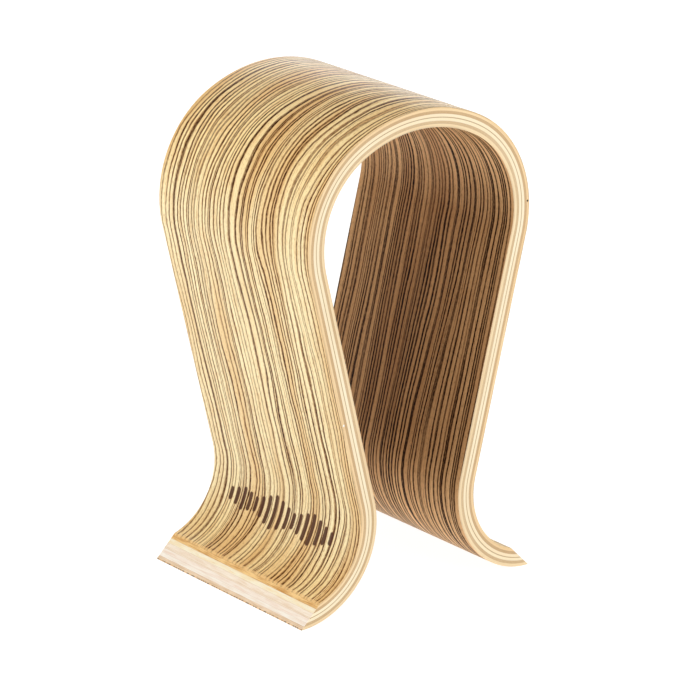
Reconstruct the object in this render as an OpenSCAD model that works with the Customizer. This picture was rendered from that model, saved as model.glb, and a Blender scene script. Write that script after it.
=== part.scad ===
// Headphone stand bent from one sheet of plywood into the shape of an omega.
// A shallow crown takes the headband, the legs lean in below the shoulders,
// and each leg sweeps out into a foot with a bevelled toe.
// The sheet is nine veneers glued face to face, and each veneer is one node.

/* [Overall size] */
// Height from the floor to the top of the crown
stand_height = 260; // [230:1:300]
// Depth of the bent sheet from its front edge to its back edge
stand_depth = 125; // [60:1:160]

/* [Bends of the outer face] */
// Radius of the shallow arc over the top of the crown
crown_radius = 84; // [76:1:100]
// Angle that the crown arc covers on each side of the middle
crown_angle = 28; // [10:1:40]
// Radius of the shoulders at each side of the crown
shoulder_radius = 60; // [50:0.5:70]
// Lean of the legs towards each other below the shoulders, from upright
leg_lean = 14; // [6:0.5:16]
// Radius where a leg sweeps out into its foot
foot_radius = 38; // [30:0.5:50]

/* [Toes] */
// Slope of the bevelled end of each toe, from the floor
toe_bevel_angle = 45; // [42:1:60]
// Depth sanded off under each toe to give it a flat sole
sole_sanding = 0.15; // [0.1:0.05:0.3]

/* [Veneers, from the faces to the middle] */
// Thickness of each striped face veneer
face_veneer_t = 0.6; // [0.5:0.1:1]
// Thickness of each ply whose grain follows the bend, under a face veneer
long_ply_t = 1.2; // [1:0.1:2]
// Thickness of each crossband, whose grain runs along the depth
crossband_t = 1.5; // [1:0.1:2]
// Thickness of each pale core ply
core_ply_t = 1.6; // [1:0.1:2]
// Thickness of the thin veneer in the middle of the sheet
centre_veneer_t = 0.4; // [0.3:0.1:1]

/* [Hidden] */
$fn = 180;

// Where each veneer starts, as a depth below the outer face of the sheet
outer_long_d = face_veneer_t;
outer_crossband_d = outer_long_d + long_ply_t;
outer_core_d = outer_crossband_d + crossband_t;
centre_d = outer_core_d + core_ply_t;
inner_core_d = centre_d + centre_veneer_t;
inner_crossband_d = inner_core_d + core_ply_t;
inner_long_d = inner_crossband_d + crossband_t;
inner_face_d = inner_long_d + long_ply_t;
sheet_t = inner_face_d + face_veneer_t;

// Where two edges of the outline should just touch, one reaches this far past the other,
// so that they cross at one clear point
crossing = 0.005;

// Centres of the bends of the right half, as [x, z]
crown_centre = [0, stand_height - crown_radius];
shoulder_centre = crown_centre
    + (crown_radius - shoulder_radius + crossing) * [sin(crown_angle), cos(crown_angle)];
foot_centre_z = sheet_t - sole_sanding + foot_radius;

// The straight of each leg, from the shoulder's bend to the foot's bend
leg_out = [cos(leg_lean), -sin(leg_lean)];
leg_down = [-sin(leg_lean), -cos(leg_lean)];
leg_top = shoulder_centre + (shoulder_radius - crossing) * leg_out;
leg_foot_z = foot_centre_z - (foot_radius - crossing) * leg_out[1];
leg_foot = leg_top + (leg_top[1] - leg_foot_z) / cos(leg_lean) * leg_down;
foot_centre = leg_foot + (foot_radius - crossing) * leg_out;

// The tip of each toe is where its underside has bent level with the floor
toe_tip = [foot_centre[0], 0];

// Mirrors a list of points to the left half, in reverse order
function mirrored(points) =
    [for (i = [len(points) - 1:-1:0]) [-points[i][0], points[i][1]]];

// A flat shape in x and z, drawn out along the depth of the stand
module along_depth() {
    rotate([90, 0, 0]) linear_extrude(stand_depth, center = true) children();
}

// All that lies under one surface of the sheet, a depth below its outer face
module under_surface(depth) {
    right_leg = [leg_top - depth * leg_out, leg_foot - depth * leg_out, foot_centre, toe_tip];
    crown_edge = crown_centre + 2 * crown_radius * [sin(crown_angle), cos(crown_angle)];
    difference() {
        union() {
            along_depth() intersection() {
                translate(crown_centre) circle(crown_radius - depth);
                polygon(concat([crown_centre, crown_edge], mirrored([crown_edge])));
            }
            for (side = [-1, 1])
                along_depth() translate([side * shoulder_centre[0], shoulder_centre[1]])
                    circle(shoulder_radius - depth);
            along_depth() polygon(concat(right_leg, mirrored(right_leg)));
        }
        for (side = [-1, 1])
            along_depth() translate([side * foot_centre[0], foot_centre[1]])
                circle(foot_radius + depth);
    }
}

// What the bevels cut off both toes, from just past the tip to beside the foot's centre
module above_bevels() {
    reach = foot_centre[1] * sin(toe_bevel_angle);
    for (side = [0, 1])
        mirror([side, 0, 0]) along_depth()
            translate(toe_tip - [crossing, 0]) rotate(-toe_bevel_angle)
                translate([-reach, 0]) square([reach + sheet_t, foot_centre[1]]);
}

// One veneer of the sheet, from a depth below its outer face
module veneer(depth, thickness) {
    difference() {
        under_surface(depth);
        under_surface(depth + thickness);
        above_bevels();
    }
}

module outer_face_veneer() {
    color("#DDB777") veneer(0, face_veneer_t);
}

module outer_long_ply() {
    color("#E3BF8B") veneer(outer_long_d, long_ply_t);
}

module outer_crossband() {
    color("#C9A982") veneer(outer_crossband_d, crossband_t);
}

module outer_core_ply() {
    color("#F6E9C9") veneer(outer_core_d, core_ply_t);
}

module centre_veneer() {
    color("#CDB088") veneer(centre_d, centre_veneer_t);
}

module inner_core_ply() {
    color("#F6E9C9") veneer(inner_core_d, core_ply_t);
}

module inner_crossband() {
    color("#C9A982") veneer(inner_crossband_d, crossband_t);
}

module inner_long_ply() {
    color("#E8C997") veneer(inner_long_d, long_ply_t);
}

module inner_face_veneer() {
    color("#8A6340") veneer(inner_face_d, face_veneer_t);
}

outer_face_veneer();
outer_long_ply();
outer_crossband();
outer_core_ply();
centre_veneer();
inner_core_ply();
inner_crossband();
inner_long_ply();
inner_face_veneer();
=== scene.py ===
"""Looks of the bent plywood headphone stand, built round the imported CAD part.

Each of the nine veneers is drawn again as a smooth strip that carries its own grain
coordinates: how far round the bend, across the depth, and into the sheet. The wood is
procedural and follows those, so that stripes run round the bends and end on the toes.
"""

import math

import bpy
import numpy as np
from mathutils import Matrix, Vector


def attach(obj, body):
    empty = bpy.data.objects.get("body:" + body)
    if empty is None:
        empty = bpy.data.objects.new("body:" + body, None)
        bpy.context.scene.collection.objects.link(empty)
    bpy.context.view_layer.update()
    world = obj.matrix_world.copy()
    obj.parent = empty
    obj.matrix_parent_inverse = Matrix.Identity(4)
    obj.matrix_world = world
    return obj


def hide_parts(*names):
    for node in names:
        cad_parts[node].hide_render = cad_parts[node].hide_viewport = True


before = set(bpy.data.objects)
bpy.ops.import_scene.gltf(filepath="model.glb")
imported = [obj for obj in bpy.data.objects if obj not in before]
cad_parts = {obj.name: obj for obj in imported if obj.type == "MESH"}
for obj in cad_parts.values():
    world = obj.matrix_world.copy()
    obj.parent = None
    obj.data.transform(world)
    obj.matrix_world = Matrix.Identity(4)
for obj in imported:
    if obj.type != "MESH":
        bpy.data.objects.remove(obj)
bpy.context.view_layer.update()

MM = 0.001

# --- Shape of the sheet, in mm, as in the CAD ------------------------------------------
HEIGHT = 260.0
DEPTH = 125.0
CROWN_R, CROWN_ANGLE = 84.0, math.radians(28)
SHOULDER_R = 60.0
LEG_LEAN = math.radians(14)
FOOT_R = 38.0
BEVEL_ANGLE = math.radians(45)
SOLE_SANDING = 0.15

# Name, thickness in mm, kind of wood
VENEERS = [
    ("outer_face_veneer", 0.6, "striped"),
    ("outer_long_ply", 1.2, "long"),
    ("outer_crossband", 1.5, "cross"),
    ("outer_core_ply", 1.6, "core"),
    ("centre_veneer", 0.4, "thin"),
    ("inner_core_ply", 1.6, "core"),
    ("inner_crossband", 1.5, "cross"),
    ("inner_long_ply", 1.2, "long"),
    ("inner_face_veneer", 0.6, "striped"),
]
SHEET_T = sum(v[1] for v in VENEERS)
EASED = 0.3  # radius sanded on the long edges of the face veneers
EASED_STEPS = 4  # flats that make up that rounding
SHARP_ANGLE = math.radians(15)  # edges that turn by more than this are shaded sharp

# Rows of corners on the crown, shoulder, leg and foot of each half
CROWN_ROWS, SHOULDER_ROWS, LEG_ROWS, FOOT_ROWS = 26, 66, 32, 60

# Centres of the bends of the right half, and the straight of its leg
shoulder_c = np.array([0, HEIGHT - CROWN_R]) + (CROWN_R - SHOULDER_R) * np.array(
    [math.sin(CROWN_ANGLE), math.cos(CROWN_ANGLE)]
)
leg_out = np.array([math.cos(LEG_LEAN), -math.sin(LEG_LEAN)])
leg_down = np.array([-math.sin(LEG_LEAN), -math.cos(LEG_LEAN)])
foot_c_z = SHEET_T - SOLE_SANDING + FOOT_R
leg_top = shoulder_c + SHOULDER_R * leg_out
leg_length = (leg_top[1] - foot_c_z + FOOT_R * leg_out[1]) / math.cos(LEG_LEAN)
foot_c = leg_top + leg_length * leg_down + FOOT_R * leg_out

# Lengths round the outer face, from the middle of the crown
CROWN_END = CROWN_R * CROWN_ANGLE
SHOULDER_END = CROWN_END + SHOULDER_R * (math.pi / 2 + LEG_LEAN - CROWN_ANGLE)
LEG_END = SHOULDER_END + leg_length
FOOT_START = math.pi - LEG_LEAN  # angle at the foot's centre where its bend starts


def toe_end(depth):
    """Length at which the toe's bevel cuts a surface that lies depth under the outer face."""
    radius = FOOT_R + depth
    angle = 2 * math.pi - math.asin(foot_c_z * math.cos(BEVEL_ANGLE) / radius) - BEVEL_ANGLE
    return LEG_END + FOOT_R * (angle - FOOT_START)


def on_sheet(s, depth):
    """Points (x, z) in mm for signed lengths s round the bend, each depth under the outer face."""
    side, s = np.where(s < 0, -1.0, 1.0), np.abs(s)
    crown = s / CROWN_R
    shoulder = CROWN_ANGLE + (s - CROWN_END) / SHOULDER_R
    leg = s - SHOULDER_END
    foot = FOOT_START + (s - LEG_END) / FOOT_R
    zones = [s <= CROWN_END, s <= SHOULDER_END, s <= LEG_END]
    x = np.select(
        zones,
        [
            (CROWN_R - depth) * np.sin(crown),
            shoulder_c[0] + (SHOULDER_R - depth) * np.sin(shoulder),
            leg_top[0] + leg * leg_down[0] - depth * leg_out[0],
        ],
        foot_c[0] + (FOOT_R + depth) * np.cos(foot),
    )
    z = np.select(
        zones,
        [
            HEIGHT - CROWN_R + (CROWN_R - depth) * np.cos(crown),
            shoulder_c[1] + (SHOULDER_R - depth) * np.cos(shoulder),
            leg_top[1] + leg * leg_down[1] - depth * leg_out[1],
        ],
        foot_c[1] + (FOOT_R + depth) * np.sin(foot),
    )
    x = np.where(z < 0, np.minimum(x, foot_c[0]), x)  # the sole is sanded flat
    return side * x, np.maximum(z, 0)


def stations():
    """Lengths round one half of the bend where the strips have a row of corners."""
    parts = [
        (0, CROWN_END, CROWN_ROWS),
        (CROWN_END, SHOULDER_END, SHOULDER_ROWS),
        (SHOULDER_END, LEG_END, LEG_ROWS),
    ]
    half = [np.linspace(a, b, n, endpoint=False) for a, b, n in parts]
    return np.concatenate(half + [np.linspace(LEG_END, toe_end(0), FOOT_ROWS)])


def section(start, thickness, kind):
    """Corners (y, depth) round one veneer's section, and the side that each edge belongs to."""
    w, end = DEPTH / 2, start + thickness
    outer, inner = kind == "striped" and start == 0, kind == "striped" and start > 0
    steps = EASED_STEPS
    turn = [math.radians(90 * i / steps) for i in range(steps + 1)]
    top, top_sides = [(-w, start), (w, start)], ["top"]
    bottom, bottom_sides = [(w, end), (-w, end)], ["bottom"]
    if outer:
        near = [(-w + EASED * (1 - math.cos(a)), EASED * (1 - math.sin(a))) for a in turn]
        top = near + [(-y, d) for y, d in reversed(near)]
        top_sides = ["near"] * steps + ["top"] + ["far"] * steps
    if inner:
        far = [(w - EASED * (1 - math.cos(a)), end - EASED * (1 - math.sin(a))) for a in turn]
        bottom = far + [(-y, d) for y, d in reversed(far)]
        bottom_sides = ["far"] * steps + ["bottom"] + ["near"] * steps
    return np.array(top + bottom), top_sides + ["far"] + bottom_sides + ["near"]


# Share of the baked picture's height that each side of a strip takes. The rest is left
# empty, as a margin below and a gap after each band
UV_MARGIN, UV_GAP = 0.004, 0.006
SHARES = {
    "outer_face": {"top": 0.74, "bottom": 0.02, "near": 0.05, "far": 0.05, "caps": 0.05},
    "inner_face": {"top": 0.02, "bottom": 0.74, "near": 0.05, "far": 0.05, "caps": 0.05},
    "ply": {"top": 0.03, "bottom": 0.03, "near": 0.3, "far": 0.3, "caps": 0.13},
}


def uv_bands(layout):
    """(lowest, highest) v of each side's band on the picture."""
    bands, v = {}, UV_MARGIN
    for side, share in SHARES[layout].items():
        for part in ("left", "right") if side == "caps" else (side,):
            bands[part] = (v, v + share)
            v += share + UV_GAP
    return bands


def strip(name, start, thickness, kind):
    """One veneer as a closed mesh, with its grain coordinates and its cut faces marked."""
    corners, sides = section(start, thickness, kind)
    half = stations()
    rows = np.concatenate([-half[:0:-1], half])
    count, around = len(rows), len(corners)
    s = np.repeat(rows[:, None], around, 1)
    y = np.repeat(corners[None, :, 0], count, 0)
    depth = np.repeat(corners[None, :, 1], count, 0)
    # rows on the foot are stretched so that the last one lies on the bevel at every depth
    toe = np.array([toe_end(d) for d in corners[:, 1]])[None, :]
    past = (np.abs(s) - LEG_END) / (toe_end(0) - LEG_END)
    s = np.where(past > 0, np.sign(s) * (LEG_END + past * (toe - LEG_END)), s)
    x, z = on_sheet(s, depth)
    verts = np.stack([x, y, z], -1).reshape(-1, 3) * MM

    faces, cuts, uvs = [], [], []
    outer, inner = kind == "striped" and start == 0, kind == "striped" and start > 0
    bands = uv_bands("outer_face" if outer else "inner_face" if inner else "ply")
    across = (corners[:, 0] + DEPTH / 2) / DEPTH
    into = (corners[:, 1] - start) / thickness

    def uv(part, along, k):
        low, high = bands[part]
        if part in ("top", "bottom"):
            return across[k], low + (high - low) * along
        return (along if part in ("near", "far") else across[k]), low + (high - low) * into[k]

    for i in range(count - 1):
        for k, side in enumerate(sides):
            n = (k + 1) % around
            faces.append([i * around + k, i * around + n, (i + 1) * around + n, (i + 1) * around + k])
            cuts.append((1.0 if side in ("near", "far") else 0.0, 0.0, 0.0))
            a, b = i / (count - 1), (i + 1) / (count - 1)
            uvs += [uv(side, a, k), uv(side, a, n), uv(side, b, n), uv(side, b, k)]
    last = (count - 1) * around
    for part, cap in (("left", range(around - 1, -1, -1)), ("right", range(around))):
        faces.append([k + (last if part == "right" else 0) for k in cap])
        cuts.append((0.0, 1.0, 0.0))
        uvs += [uv(part, 0, k) for k in cap]

    mesh = bpy.data.meshes.new(name + "_strip")
    mesh.from_pydata(verts.tolist(), [], faces)
    grain = mesh.attributes.new("grain", "FLOAT_VECTOR", "POINT")
    grain.data.foreach_set("vector", np.stack([s, y, depth], -1).ravel())
    cut = mesh.attributes.new("cut", "FLOAT_VECTOR", "FACE")
    cut.data.foreach_set("vector", np.array(cuts).ravel())
    layer = mesh.uv_layers.new(name="OFBake")
    layer.data.foreach_set("uv", np.array(uvs).ravel())
    mesh.polygons.foreach_set("use_smooth", [True] * len(mesh.polygons))
    mesh.set_sharp_from_angle(angle=SHARP_ANGLE)
    mesh.update()
    obj = bpy.data.objects.new(name + "_wood", mesh)
    bpy.context.scene.collection.objects.link(obj)
    return obj


# --- Materials --------------------------------------------------------------------------
def rgb(r, g, b):
    """A linear colour from 0 to 255 screen values."""
    return tuple(((c / 255 + 0.055) / 1.055) ** 2.4 if c > 10 else c / 3295 for c in (r, g, b)) + (1,)


class Wood:
    """A small builder of shader nodes. Lengths are in mm."""

    def __init__(self, name):
        self.material = bpy.data.materials.new(name)
        self.material.use_nodes = True
        self.tree = self.material.node_tree
        self.shader = self.tree.nodes["Principled BSDF"]
        self.s, self.y, self.depth = self.split(self.attribute("grain"))
        self.edge_cut, self.toe_cut, _ = self.split(self.attribute("cut"))

    def put(self, socket, value):
        if isinstance(value, bpy.types.NodeSocket):
            self.tree.links.new(value, socket)
        else:
            socket.default_value = value

    def node(self, kind, **settings):
        node = self.tree.nodes.new(kind)
        for key, value in settings.items():
            setattr(node, key, value)
        return node

    def attribute(self, name):
        return self.node("ShaderNodeAttribute", attribute_name=name).outputs["Vector"]

    def split(self, vector):
        node = self.node("ShaderNodeSeparateXYZ")
        self.put(node.inputs[0], vector)
        return node.outputs[0], node.outputs[1], node.outputs[2]

    def math(self, operation, *values):
        node = self.node("ShaderNodeMath", operation=operation)
        for socket, value in zip(node.inputs, values):
            self.put(socket, value)
        return node.outputs[0]

    def add(self, first, *others):
        for other in others:
            first = self.math("ADD", first, other)
        return first

    def times(self, first, *others):
        for other in others:
            first = self.math("MULTIPLY", first, other)
        return first

    def ramp(self, value, low, high, out_low=0.0, out_high=1.0):
        """A smooth step of value from out_low at low to out_high at high."""
        node = self.node("ShaderNodeMapRange", interpolation_type="SMOOTHSTEP")
        for socket, v in zip(node.inputs, (value, low, high, out_low, out_high)):
            self.put(socket, v)
        return node.outputs[0]

    def noise(self, sizes, seed=0.0, detail=2.0, y=None, roughness=0.5):
        """Noise with features of these sizes along s, y and depth; 0 leaves one out."""
        parts = self.node("ShaderNodeCombineXYZ")
        values = (self.s, self.y if y is None else y, self.depth)
        for socket, value, size in zip(parts.inputs, values, sizes):
            self.put(socket, self.add(self.times(value, 1 / size), seed) if size else seed)
        node = self.node("ShaderNodeTexNoise")
        self.put(node.inputs["Vector"], parts.outputs[0])
        node.inputs["Scale"].default_value = 1.0
        node.inputs["Detail"].default_value = detail
        node.inputs["Roughness"].default_value = roughness
        return node.outputs[0]

    def wave(self, sizes, height, seed, detail=1.0):
        """Noise centred on zero, of about this height in mm."""
        return self.times(self.math("SUBTRACT", self.noise(sizes, seed, detail), 0.5), height)

    def lines(self, across, spacing, seed):
        """Distance in mm to the nearest of a set of irregular lines, and two random values of it."""
        node = self.node("ShaderNodeTexVoronoi", voronoi_dimensions="1D", feature="F1")
        self.put(node.inputs["W"], self.add(self.times(across, 1 / spacing), seed))
        node.inputs["Scale"].default_value = 1.0
        node.inputs["Randomness"].default_value = 0.92
        one, two, _ = self.split(node.outputs["Color"])
        return self.times(node.outputs["Distance"], spacing), one, two

    def mix(self, factor, first, second, blend="MIX"):
        node = self.node("ShaderNodeMix", data_type="RGBA", blend_type=blend)
        self.put(node.inputs[0], factor)
        self.put(node.inputs[6], first)
        self.put(node.inputs[7], second)
        return node.outputs[2]

    def finish(self, colour, roughness, height, relief, coat):
        """Feeds the shader. height is from 0 to 1 and relief its size in mm."""
        bump = self.node("ShaderNodeBump")
        bump.inputs["Strength"].default_value = 1.0
        bump.inputs["Distance"].default_value = relief * MM
        self.put(bump.inputs["Height"], height)
        self.put(self.shader.inputs["Normal"], bump.outputs[0])
        self.put(self.shader.inputs["Base Color"], colour)
        self.put(self.shader.inputs["Roughness"], roughness)
        self.shader.inputs["Specular IOR Level"].default_value = 0.03
        self.shader.inputs["Coat Weight"].default_value = coat
        self.shader.inputs["Coat Roughness"].default_value = 0.26
        self.shader.inputs["Coat IOR"].default_value = 1.3
        return self.material


# Generic level bars burnt across the left leg, just above its foot: half lengths in mm
BAR_HALF_LENGTHS = [2.2, 3.6, 5.4, 7.2, 6.0, 4.2, 3.0, 4.6, 6.6, 8.0, 6.4, 4.4, 2.8, 3.8, 5.0, 3.4, 2.2]
BAR_PITCH = 5.3
BAR_HALF_WIDTH = 1.35
BARS_S, BARS_Y = -273.0, 1.5


def burnt_bars(wood):
    """How burnt and how scorched the veneer is at each point, from 0 to 1."""
    first = BARS_Y - BAR_PITCH * len(BAR_HALF_LENGTHS) / 2
    place = wood.times(wood.math("SUBTRACT", wood.y, first), 1 / BAR_PITCH)
    number = wood.math("FLOOR", place)
    aside = wood.times(wood.math("SUBTRACT", wood.math("SUBTRACT", place, number), 0.5), BAR_PITCH)
    along = wood.math("ABSOLUTE", wood.math("SUBTRACT", wood.s, BARS_S))
    half = 0.0
    for i, length in enumerate(BAR_HALF_LENGTHS):
        here = wood.math("COMPARE", number, float(i), 0.5)
        half = wood.add(wood.times(here, length), half)
    inside = wood.math("GREATER_THAN", half, 0.1)
    reach = wood.math("MAXIMUM", wood.math("SUBTRACT", along, half), 0.0)
    distance = wood.math("SQRT", wood.add(wood.times(reach, reach), wood.times(aside, aside)))
    ragged = wood.add(distance, wood.wave((0.8, 0.8, 0), 0.35, 4.0))
    burnt = wood.ramp(ragged, BAR_HALF_WIDTH + 0.12, BAR_HALF_WIDTH - 0.12)
    scorched = wood.ramp(ragged, BAR_HALF_WIDTH + 0.7, BAR_HALF_WIDTH)
    return wood.times(burnt, inside), wood.times(scorched, inside)


# Looks of the two striped faces. spacing is between main lines, width is a line's least
# half width and crown_width what the crown adds to it; drift and wiggle are how far the
# lines wander, slowly and quickly. The tint colour is painted shade, multiplied over the parts
# named in striped_wood. toe_cover is how far the toe's own colour hides the lines. Colours:
# ground, tan zones, brown edge of a line, dark line, and the veneer's cut edge on the long sides and on
# the toes
FACE_LOOKS = {
    "outer_face_veneer": {
        "seed": 2.0, "spacing": 2.75, "width": 0.17, "crown_width": 0.13,
        "drift": 12.0, "wiggle": 3.0, "shade_tint": (255, 244, 226), "toe_cover": 0.65, "coat": 0.3,
        "colours": (
            (255, 238, 190), (238, 203, 146), (148, 86, 16),
            (48, 18, 1), (242, 210, 162), (240, 196, 134),
        ),
    },
    # the inner face is the same wood as the outer; its ground, tan, brown and dark line colours are
    # darkened as painted shade for the hollow between the legs, while its cut edges keep the lit colour
    "inner_face_veneer": {
        "seed": 61.0, "spacing": 2.5, "width": 0.28, "crown_width": 0.0,
        "drift": 7.0, "wiggle": 1.4, "shade_tint": (217, 210, 203), "toe_cover": 0.25, "coat": 0.1,
        "colours": (
            (247, 202, 148), (221, 173, 122), (94, 50, 6),
            (16, 3, 0), (255, 230, 188), (238, 208, 172),
        ),
    },
}


def striped_wood(name):
    """Zebrano veneer: dark lines that follow the bend, drift and fade, on a honey ground."""
    look = FACE_LOOKS[name]
    outer = name == "outer_face_veneer"
    seed, spacing, wiggle = look["seed"], look["spacing"], look["wiggle"]
    light, tan, brown, dark, cut_edge, cut_toe = (rgb(*c) for c in look["colours"])
    wood = Wood(name)
    across = wood.add(
        wood.y,
        wood.wave((130, 42, 0), look["drift"], seed),
        wood.wave((320, 11, 0), 3.6, seed + 9),
        wood.wave((36, 14, 0), wiggle, seed + 3),
        wood.wave((11, 6, 0), wiggle * 0.35, seed + 5),
        wood.wave((2.6, 1.4, 0), 0.35, seed + 7),
    )
    # tan zones, finer streaks and open pores in the ground
    zone = wood.ramp(wood.noise((260, 17, 0), seed + 11, 2, across), 0.46, 0.62)
    streak = wood.noise((45, 0.9, 0), seed + 13, 3, across, 0.6)
    pores = wood.noise((2.4, 0.55, 0), seed + 31, 2, across, 0.65)
    cloud = wood.ramp(wood.noise((22, 4, 0), seed + 41, 4, across, 0.75), 0.46, 0.62)
    colour = wood.mix(wood.times(wood.math("MAXIMUM", zone, wood.times(cloud, 0.6)), 0.85), light, tan)
    colour = wood.mix(wood.ramp(streak, 0.47, 0.75, 0, 0.45), colour, tan)
    colour = wood.mix(wood.ramp(pores, 0.53, 0.66, 0, 0.35), colour, brown)
    # painted shade: the outer face is darkened to amber over the crown, where its lines are heavier,
    # and on the feet, where less light falls on them; the inner face is darkened down its legs
    along = wood.math("ABSOLUTE", wood.s)
    crown = wood.ramp(along, 120, 60)
    if outer:
        painted_shade = wood.add(crown, wood.ramp(along, LEG_END + 15, LEG_END + 50))
    else:
        painted_shade = wood.times(wood.ramp(along, 75, 125), wood.ramp(along, 275, 235))
    # main lines, of random weight, fading in and out and broken by pores, with a brown edge
    gap, weight, tone = wood.lines(across, spacing, seed + 17)
    width = wood.add(wood.times(crown, look["crown_width"]), look["width"])
    over = wood.math("SUBTRACT", gap, wood.add(wood.times(weight, 0.22), width))
    fade = wood.ramp(wood.noise((40, 2.5, 0), seed + 19, 2), 0.36, 0.5, 0.7, 1.0)
    calm = wood.ramp(wood.noise((200, 14, 0), seed + 43, 1, across), 0.38, 0.52, 0.6, 1.0)
    fade = wood.times(fade, wood.ramp(tone, 0.0, 0.4, 0.7, 1.0), calm)
    broken = wood.ramp(pores, 0.38, 0.52, 0.5, 1.0)
    main = wood.times(wood.ramp(over, 0.1, -0.04), fade, broken)
    edge = wood.times(wood.ramp(over, 0.45, 0.06), fade, wood.ramp(pores, 0.38, 0.52, 0.7, 0.95))
    # hairlines, in patches of their own
    gap, _, tone = wood.lines(across, spacing * 0.4, seed + 23)
    busy = wood.ramp(wood.noise((80, 7, 0), seed + 29, 2, across), 0.42, 0.62, 0.25, 1.0)
    hair = wood.times(wood.ramp(gap, 0.3, 0.08), wood.ramp(tone, 0.15, 0.8), busy, broken)
    colour = wood.mix(wood.math("MAXIMUM", edge, wood.times(hair, 0.85)), colour, brown)
    colour = wood.mix(main, colour, dark)
    height = wood.math("SUBTRACT", 1.0, wood.math("MAXIMUM", main, wood.ramp(pores, 0.56, 0.72)))
    # painted shade: the tint colour is multiplied over those parts
    colour = wood.mix(painted_shade, colour, rgb(*look["shade_tint"]), "MULTIPLY")
    # the cut edges show the veneer's own section, with the lines fainter
    colour = wood.mix(wood.times(wood.edge_cut, 0.75), colour, cut_edge)
    colour = wood.mix(wood.times(wood.toe_cut, look["toe_cover"]), colour, cut_toe)
    if outer:
        bars, scorched = burnt_bars(wood)
        char = wood.mix(wood.noise((3, 0.5, 0), 41, 2), rgb(56, 30, 22), rgb(100, 62, 44))
        colour = wood.mix(wood.times(scorched, 0.25), colour, brown)
        colour = wood.mix(wood.times(bars, 0.94), colour, char)
        height = wood.math("SUBTRACT", height, wood.times(bars, 1.5))
    sheen = wood.noise((30, 8, 0), seed + 37, 2)
    roughness = wood.add(wood.ramp(sheen, 0.3, 0.7, 0.36, 0.46), wood.times(main, 0.12))
    return wood.finish(colour, roughness, height, 0.04, look["coat"])


# Marks on the front edge: name of the ply, length round the bend, depth, size and colour
MARKS = [
    ("outer_long_ply", 103.0, 1.2, 0.75, (40, 30, 24)),
    ("outer_long_ply", -202.0, 1.3, 0.8, (255, 252, 246)),
]


def ply_wood(name, seed, grain, edge, edge_dark, toe, toe_dark, start, thickness):
    """Birch ply. grain is "along" the bend or "across" it; colours are on edge and bevel."""
    wood = Wood(name)
    long, fine = 26.0, 0.22
    sizes = (long, fine * 2, fine) if grain == "along" else (fine * 2, long, fine)
    fibre = wood.noise(sizes, seed, 3, roughness=0.6)
    cloud = wood.noise((55, 40, 3), seed + 3, 2)
    flecks = wood.noise((5, 5, 0.35) if grain == "along" else (0.5, 5, 0.25), seed + 5, 2)
    shade = wood.ramp(wood.add(wood.times(fibre, 0.55), wood.times(cloud, 0.45)), 0.34, 0.66)
    on_edge = wood.mix(shade, edge_dark, edge)
    # sanding the bevel draws its fibres out into fine streaks along the toe
    streak = wood.noise((0, 16, 0.16), seed + 7, 3, roughness=0.65)
    blotch = wood.noise((0, 13, 1.1), seed + 9, 3, roughness=0.6)
    shade = wood.ramp(wood.add(wood.times(streak, 0.5), wood.times(blotch, 0.5)), 0.38, 0.6)
    on_toe = wood.mix(shade, toe_dark, toe)
    colour = wood.mix(wood.toe_cut, on_edge, on_toe)
    pores = wood.ramp(flecks, 0.64, 0.76, 0, 0.35)
    colour = wood.mix(pores, colour, edge_dark)
    # a faint glue line at each face of the ply
    middle = start + thickness / 2
    aside = wood.math("ABSOLUTE", wood.math("SUBTRACT", wood.depth, middle))
    glue = wood.ramp(aside, thickness / 2 - 0.09, thickness / 2, 0, 0.35)
    colour = wood.mix(glue, colour, rgb(176, 132, 84))
    for ply, s, depth, size, mark in MARKS:
        if ply == name:
            along = wood.math("SUBTRACT", wood.s, s)
            into = wood.math("SUBTRACT", wood.depth, depth)
            distance = wood.math("SQRT", wood.add(wood.times(along, along), wood.times(into, into)))
            front = wood.math("LESS_THAN", wood.y, 1 - DEPTH / 2)
            spot = wood.times(wood.ramp(distance, size, size * 0.5), front)
            colour = wood.mix(spot, colour, rgb(*mark))
    roughness = wood.ramp(fibre, 0.3, 0.7, 0.52, 0.4)
    height = wood.math("SUBTRACT", fibre, wood.add(pores, glue))
    return wood.finish(colour, roughness, height, 0.03, 0.3)


# Direction of the grain, then light and dark colours on the edge and on the bevel
PLY_COLOURS = {
    "outer_long_ply": ("along", (252, 224, 178), (238, 203, 153), (252, 214, 150), (208, 152, 86)),
    "outer_crossband": ("across", (220, 188, 146), (202, 167, 124), (255, 246, 222), (250, 228, 184)),
    "outer_core_ply": ("along", (255, 242, 210), (250, 228, 190), (255, 242, 224), (240, 216, 188)),
    "centre_veneer": ("across", (208, 180, 138), (190, 158, 116), (254, 238, 214), (238, 214, 186)),
    "inner_core_ply": ("along", (255, 243, 212), (250, 230, 192), (255, 244, 230), (244, 222, 202)),
    "inner_crossband": ("across", (226, 198, 158), (206, 174, 132), (255, 247, 234), (246, 228, 208)),
    "inner_long_ply": ("along", (252, 232, 192), (240, 210, 164), (246, 222, 192), (220, 188, 152)),
}

start = 0.0
for number, (name, thickness, kind) in enumerate(VENEERS):
    piece = strip(name, start, thickness, kind)
    if kind == "striped":
        material = striped_wood(name)
    else:
        grain, *colours = PLY_COLOURS[name]
        material = ply_wood(name, 7.0 * number, grain, *(rgb(*c) for c in colours), start, thickness)
    piece.data.materials.append(material)
    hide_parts(name)
    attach(piece, "root")
    start += thickness


# --- Floor, light and camera ------------------------------------------------------------
def plain_material(name, colour, glow):
    """A dull surface that also glows white."""
    material = bpy.data.materials.new(name)
    material.use_nodes = True
    shader = material.node_tree.nodes["Principled BSDF"]
    shader.inputs["Base Color"].default_value = colour
    shader.inputs["Roughness"].default_value = 0.9
    shader.inputs["Specular IOR Level"].default_value = 0.1
    shader.inputs["Emission Color"].default_value = (1, 1, 1, 1)
    shader.inputs["Emission Strength"].default_value = glow
    return material


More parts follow.
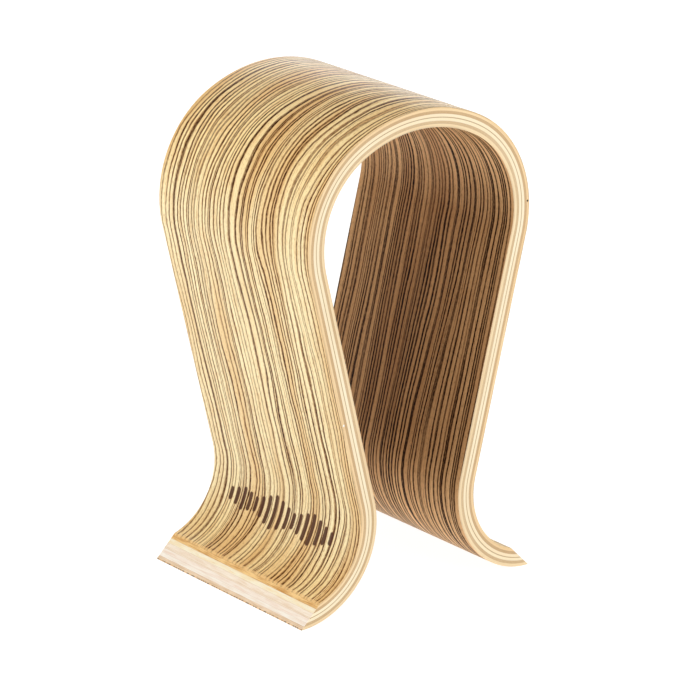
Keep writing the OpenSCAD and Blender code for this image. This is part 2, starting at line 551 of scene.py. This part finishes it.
def sheet_of(name, width, height, matrix, material):
    """A flat rectangle for the stage."""
    x, y = width / 2, height / 2
    mesh = bpy.data.meshes.new(name)
    mesh.from_pydata([(-x, -y, 0), (x, -y, 0), (x, y, 0), (-x, y, 0)], [], [(0, 1, 2, 3)])
    obj = bpy.data.objects.new(name, mesh)
    obj.matrix_world = matrix
    bpy.context.scene.collection.objects.link(obj)
    mesh.materials.append(material)


def direction(azimuth, elevation):
    """Unit vector from the stand, in degrees; azimuth 0 is the front and 90 the right."""
    a, e = math.radians(azimuth), math.radians(elevation)
    return Vector((math.sin(a) * math.cos(e), -math.cos(a) * math.cos(e), math.sin(e)))


def area_light(name, azimuth, elevation, distance, width, height, power):
    """A soft box that faces the middle of the stand."""
    data = bpy.data.lights.new(name, "AREA")
    data.shape, data.size, data.size_y, data.energy = "RECTANGLE", width, height, power
    obj = bpy.data.objects.new(name, data)
    way = direction(azimuth, elevation)
    obj.location = Vector((0, 0, HEIGHT / 2 * MM)) + way * distance
    obj.rotation_euler = way.to_track_quat("Z", "Y").to_euler()
    bpy.context.scene.collection.objects.link(obj)


FLOOR_SIZE, FLOOR_GLOW, WORLD_STRENGTH = 12, 0.94, 0.3
floor_white = plain_material("floor_white", rgb(140, 140, 140), FLOOR_GLOW)
sheet_of("floor", FLOOR_SIZE, FLOOR_SIZE, Matrix.Identity(4), floor_white)

# azimuth and elevation in degrees; distance, width and height in m; power in W
area_light("left_box", -104, 20, 1.3, 1.5, 1.0, 7.4)
area_light("front_box", 22, 14, 1.5, 1.1, 1.0, 6.6)
area_light("top_box", -50, 70, 1.5, 1.0, 1.0, 7.0)
area_light("back_box", 140, 14, 1.7, 1.8, 0.8, 10.0)

world = bpy.data.worlds.new("studio")
world.use_nodes = True
background = world.node_tree.nodes["Background"]
background.inputs["Color"].default_value = (1, 1, 1, 1)
background.inputs["Strength"].default_value = WORLD_STRENGTH
bpy.context.scene.world = world

CAMERA_AZIMUTH, CAMERA_ELEVATION, CAMERA_ROLL = -38.22, 18.61, 0.27
CAMERA_DISTANCE = 2192.9 * MM
SENSOR_WIDTH, FOCAL_LENGTH = 36.0, 222.3
# What the camera aims at, from the stand's middle, in the camera's picture plane
AIM_LEFT, AIM_DOWN = -0.4 * MM, 8.9 * MM
camera_data = bpy.data.cameras.new("camera")
camera_data.sensor_width = SENSOR_WIDTH
camera_data.lens = FOCAL_LENGTH
camera = bpy.data.objects.new("camera", camera_data)
bpy.context.scene.collection.objects.link(camera)
back = direction(CAMERA_AZIMUTH, CAMERA_ELEVATION)
roll = Matrix.Rotation(math.radians(CAMERA_ROLL), 3, "Z").to_quaternion()
turn = back.to_track_quat("Z", "Y") @ roll
right, up = turn @ Vector((1, 0, 0)), turn @ Vector((0, 1, 0))
middle = Vector((0, 0, HEIGHT / 2 * MM)) - right * AIM_LEFT - up * AIM_DOWN
camera.location = middle + back * CAMERA_DISTANCE
camera.rotation_mode = "QUATERNION"
camera.rotation_quaternion = turn
camera_data.clip_start, camera_data.clip_end = 0.1, 50.0
bpy.context.scene.camera = camera
bpy.context.scene.view_settings.view_transform = "Standard"
